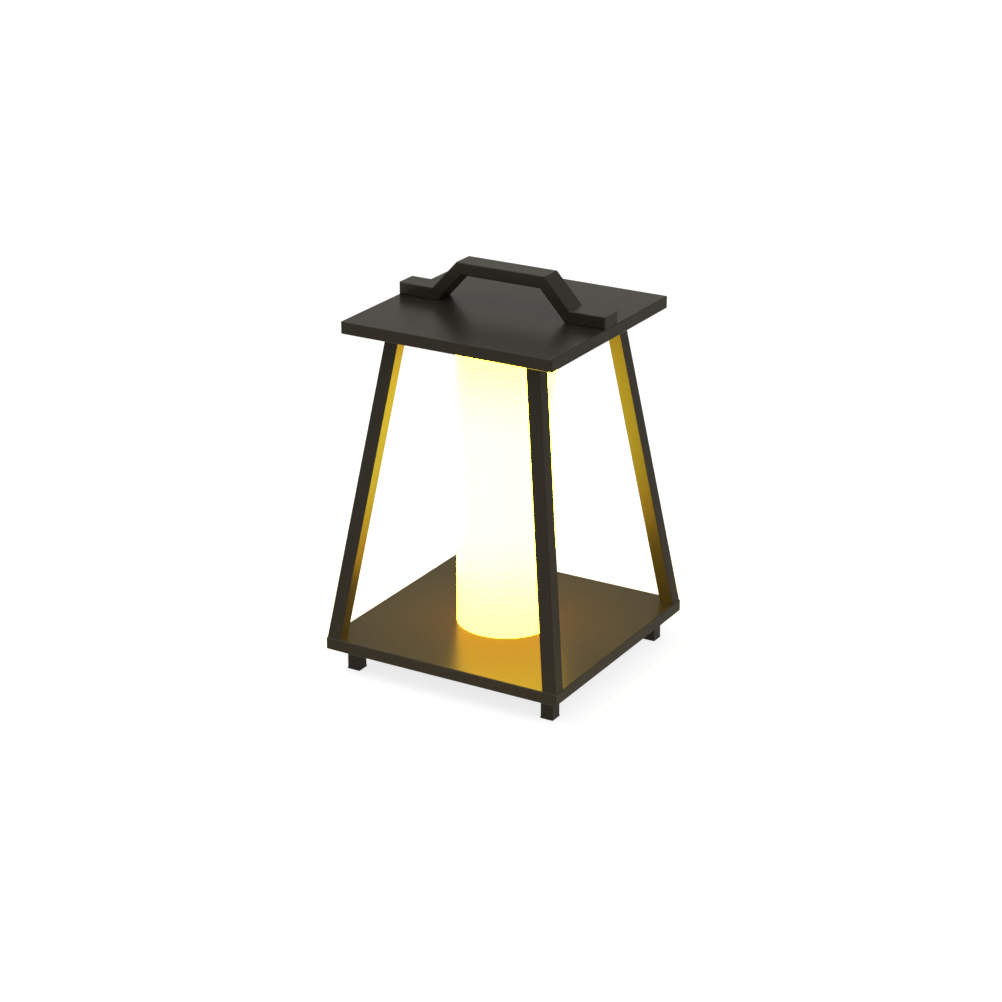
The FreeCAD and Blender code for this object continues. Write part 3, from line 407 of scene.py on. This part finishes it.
# The camera was fitted to the photograph's edges. Its angles are in degrees, its lens in millimetres.
CAMERA_PLACE = (0.9729, -1.6673, 0.8961)
CAMERA_DIP = 21.58
CAMERA_TURN = 30.39
CAMERA_LENS = 93.574
CAMERA_SENSOR = 36
CAMERA_REACH = 100


def background_strength(owner, light, seen):
    """One strength where the camera, a gloss or a glass looks at a background, another where it lights."""
    rays = add(owner, "LightPath")
    looked_at = add(owner, "Math", {0: (rays, "Is Camera Ray"), 1: (rays, "Is Glossy Ray")},
                    operation="MAXIMUM")
    shown = add(owner, "Math", {0: (looked_at, "Value"), 1: (rays, "Is Transmission Ray")},
                operation="MAXIMUM")
    return add(owner, "MapRange", {"Value": (shown, "Value"), "To Min": light, "To Max": seen})


def studio_world():
    """A plain white surround."""
    world = bpy.data.worlds.new("white_surround")
    world.use_nodes = True
    world.node_tree.nodes.clear()
    strength = background_strength(world, SURROUND_LIGHT, SURROUND_SEEN)
    surround = add(world, "Background", {"Color": WHITE, "Strength": (strength, "Result")})
    add(world, "OutputWorld", {"Surface": (surround, "Background")})
    bpy.context.scene.world = world


def studio_floor():
    """A pale floor that shows white and still takes the lamp's shadow."""
    mesh = bmesh.new()
    bmesh.ops.create_grid(mesh, x_segments=1, y_segments=1, size=FLOOR_REACH)
    floor = add_object("studio_floor", mesh)
    material, shader = finish("pale_floor", {
        "Base Color": FLOOR_GREY, "Roughness": 0.9, "Specular IOR Level": 0.0, "Emission Color": WHITE})
    strength = background_strength(material, FLOOR_LIGHT, FLOOR_SEEN)
    feed(material, shader, "Emission Strength", strength, "Result")
    floor.data.materials.append(material)


def soft_box(name, place, power):
    """A square area light that faces the middle of the lamp."""
    data = bpy.data.lights.new(name, "AREA")
    data.shape = "SQUARE"
    data.size = SOFT_BOX_SIZE
    data.energy = power
    light = bpy.data.objects.new(name, data)
    light.location = place
    light.rotation_euler = (Vector(place) - Vector(SOFT_BOX_AIM)).to_track_quat("Z", "Y").to_euler()
    bpy.context.scene.collection.objects.link(light)


def studio_lights():
    """Soft light from above, at the front left and at the front right."""
    soft_box("key_light", KEY_PLACE, KEY_POWER)
    soft_box("fill_light", FILL_PLACE, FILL_POWER)


def camera():
    """The photograph's viewpoint: 30 degrees to the right of the front and 22 degrees above."""
    data = bpy.data.cameras.new("camera")
    data.sensor_width = CAMERA_SENSOR
    data.lens = CAMERA_LENS
    data.clip_end = CAMERA_REACH
    view = bpy.data.objects.new("camera", data)
    view.location = CAMERA_PLACE
    view.rotation_euler = (math.radians(90 - CAMERA_DIP), 0, math.radians(CAMERA_TURN))
    bpy.context.scene.collection.objects.link(view)
    bpy.context.scene.camera = view


dress_frame()
opal_tube()
silicone_rings()
studio_world()
studio_floor()
studio_lights()
camera()
bpy.context.scene.view_settings.view_transform = "Standard"

bpy.context.view_layer.update()
